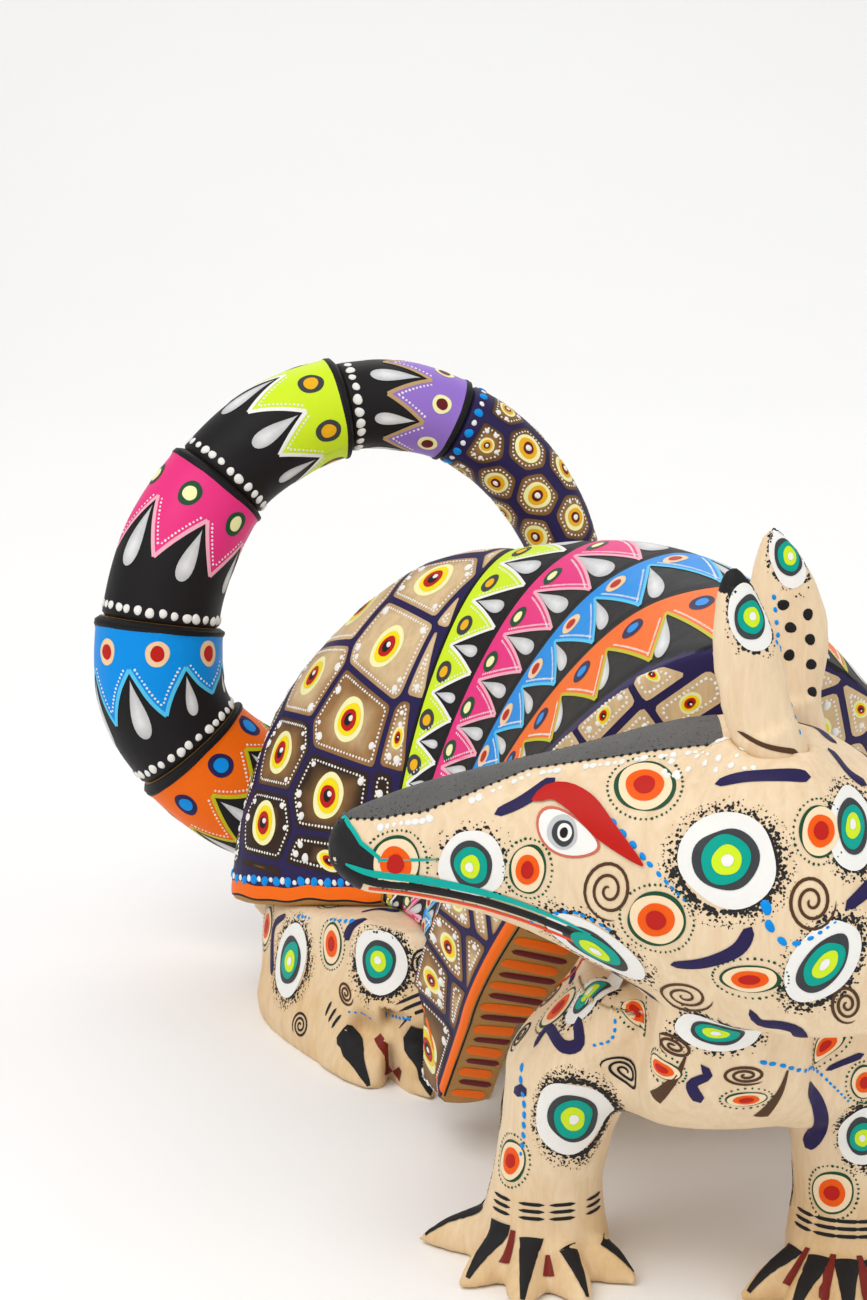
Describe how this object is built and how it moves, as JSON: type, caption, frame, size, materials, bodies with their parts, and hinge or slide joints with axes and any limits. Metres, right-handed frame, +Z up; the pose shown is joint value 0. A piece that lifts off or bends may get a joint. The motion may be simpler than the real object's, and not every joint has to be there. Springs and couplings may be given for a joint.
{
  "type": "painted wooden armadillo figure",
  "caption": "Carved wooden armadillo figure curled to one side, banded shell, ringed tail that pulls out and plug-in ears, painted all over with dots and zigzags.",
  "frame": {"origin": "bottom centre of the standing figure's bounding box, on the ground plane", "axes": "+Z up, -Y the way the animal faces, +X to the viewer's right when facing it; the curl opens to -X"},
  "size_m": [0.2126, 0.3172, 0.167],
  "materials": {
    "shell_wood": "painted, satin",
    "skin_wood": "painted tan, satin",
    "orange_wood": "painted orange, satin",
    "blue_wood": "painted blue, satin",
    "pink_wood": "painted pink, satin",
    "lime_wood": "painted lime, satin",
    "violet_wood": "painted violet, satin",
    "brown_wood": "painted brown, satin",
    "dowel_wood": "bare"
  },
  "bodies": {
    "figure": {"carapace": "shell_wood", "torso": "skin_wood", "chest": "skin_wood", "head": "skin_wood", "front_leg_right": "skin_wood", "front_leg_left": "skin_wood", "rear_leg_right": "skin_wood", "rear_leg_left": "skin_wood", "leg_dowels": "dowel_wood", "neck_dowels": "dowel_wood", "shell_dowels": "dowel_wood"},
    "tail": {"tail_orange": "orange_wood", "tail_blue": "blue_wood", "tail_pink": "pink_wood", "tail_lime": "lime_wood", "tail_violet": "violet_wood", "tail_tip": "brown_wood", "tail_dowels": "dowel_wood"},
    "ear_l": {"ear_left": "skin_wood"},
    "ear_r": {"ear_right": "skin_wood"}
  },
  "joints": [
    {"name": "tail_pull", "type": "slide", "parent": "figure", "child": "tail", "axis": [-0.7912, 0.6115, 0], "range_m": [0, 0.03]},
    {"name": "ear_left_pull", "type": "slide", "parent": "figure", "child": "ear_l", "axis": [-0.3097, -0.0599, 0.949], "range_m": [0, 0.04]},
    {"name": "ear_right_pull", "type": "slide", "parent": "figure", "child": "ear_r", "axis": [-0.2199, 0.04, 0.9747], "range_m": [0, 0.04]}
  ]
}
